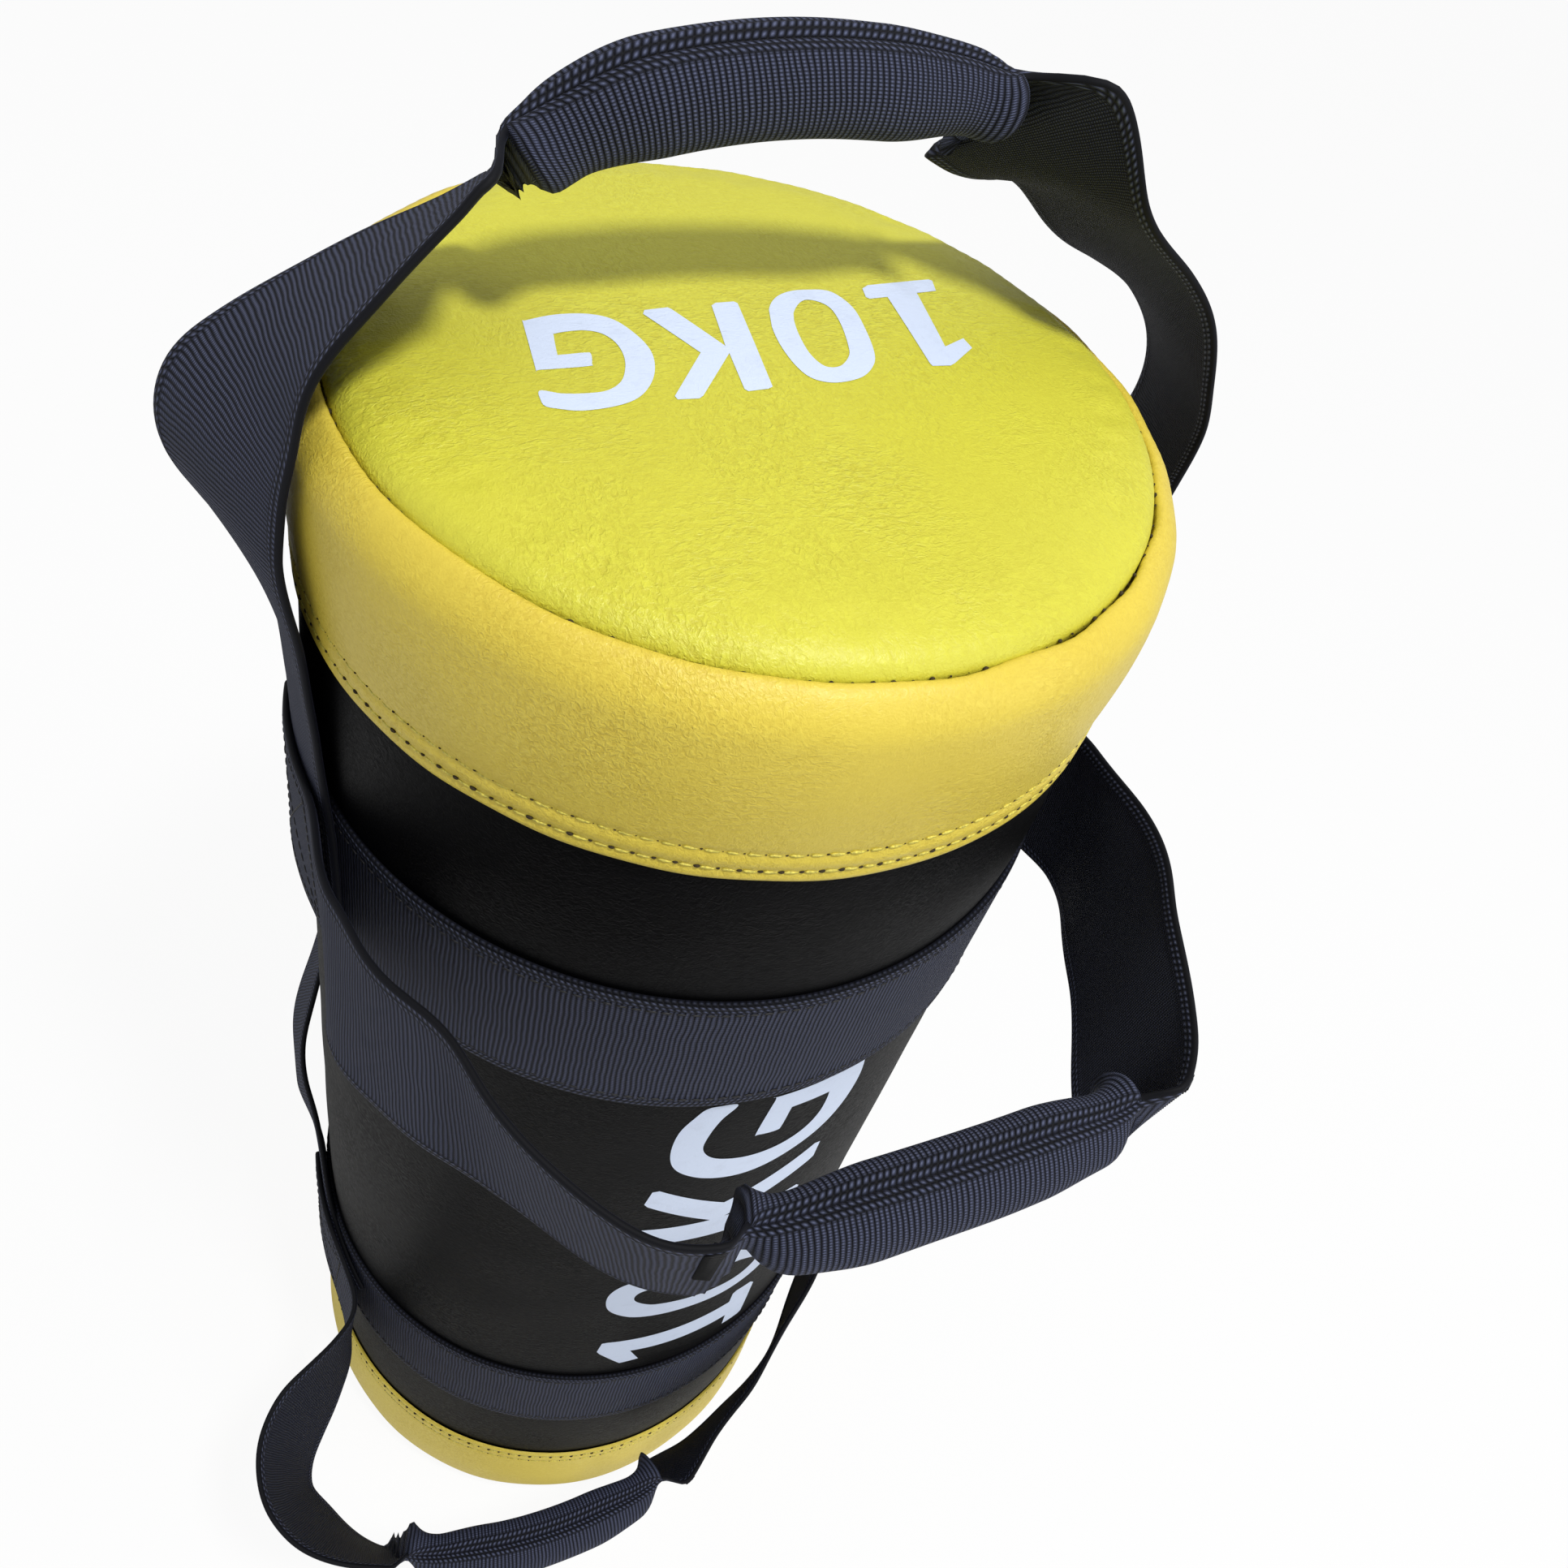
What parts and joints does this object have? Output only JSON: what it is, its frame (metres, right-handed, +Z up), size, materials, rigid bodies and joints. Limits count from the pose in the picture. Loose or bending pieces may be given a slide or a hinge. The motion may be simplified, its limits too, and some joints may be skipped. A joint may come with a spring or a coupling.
{
  "type": "training sandbag",
  "caption": "Upright stuffed cylinder bag for strength training, with webbing belts round its cover and a folded grip handle at the front and rear of each belt.",
  "frame": {"origin": "centre of the flat base that the bag stands on", "axes": "+Z up along the bag's axis, -Y towards its front, X along the line between the sewn ends of the handles"},
  "size_m": [0.2937, 0.312, 0.6037],
  "materials": {
    "black_leather": "satin grained faux leather",
    "yellow_leather": "satin grained faux leather",
    "yellow_leather_side": "satin grained faux leather",
    "navy_webbing": "ribbed polyester webbing",
    "grey_foam": "matte foam",
    "pouch_cloth": "plain woven cloth",
    "nylon": "matte nylon",
    "sand": "dry sand"
  },
  "bodies": {
    "bag": {"body_cover": "black_leather", "top_cap_band": "yellow_leather_side", "bottom_cap_band": "yellow_leather_side", "top_end_disc": "yellow_leather", "bottom_end_disc": "yellow_leather", "upper_belt": "navy_webbing", "lower_belt": "navy_webbing", "padding_sleeve": "grey_foam", "top_end_pad": "grey_foam", "bottom_end_pad": "grey_foam", "sand_pouch": "pouch_cloth", "pouch_tie": "nylon", "sand_fill": "sand"},
    "top_front_handle": {"top_front_handle_strap": "navy_webbing", "top_front_handle_core": "grey_foam"},
    "top_rear_handle": {"top_rear_handle_strap": "navy_webbing", "top_rear_handle_core": "grey_foam"},
    "bottom_front_handle": {"bottom_front_handle_strap": "navy_webbing", "bottom_front_handle_core": "grey_foam"},
    "bottom_rear_handle": {"bottom_rear_handle_strap": "navy_webbing", "bottom_rear_handle_core": "grey_foam"}
  },
  "joints": [
    {"name": "top_front_swing", "type": "hinge", "parent": "bag", "child": "top_front_handle", "pos_m": [0, 0, 0.404], "axis": [-1, 0, 0], "range_deg": [-50, 16]},
    {"name": "top_rear_swing", "type": "hinge", "parent": "bag", "child": "top_rear_handle", "pos_m": [0, 0, 0.404], "axis": [-1, 0, 0], "range_deg": [-6, 132]},
    {"name": "bottom_front_swing", "type": "hinge", "parent": "bag", "child": "bottom_front_handle", "pos_m": [0, 0, 0.134], "axis": [-1, 0, 0], "range_deg": [-9, 26]},
    {"name": "bottom_rear_swing", "type": "hinge", "parent": "bag", "child": "bottom_rear_handle", "pos_m": [0, 0, 0.134], "axis": [-1, 0, 0], "range_deg": [-10, 72]}
  ]
}
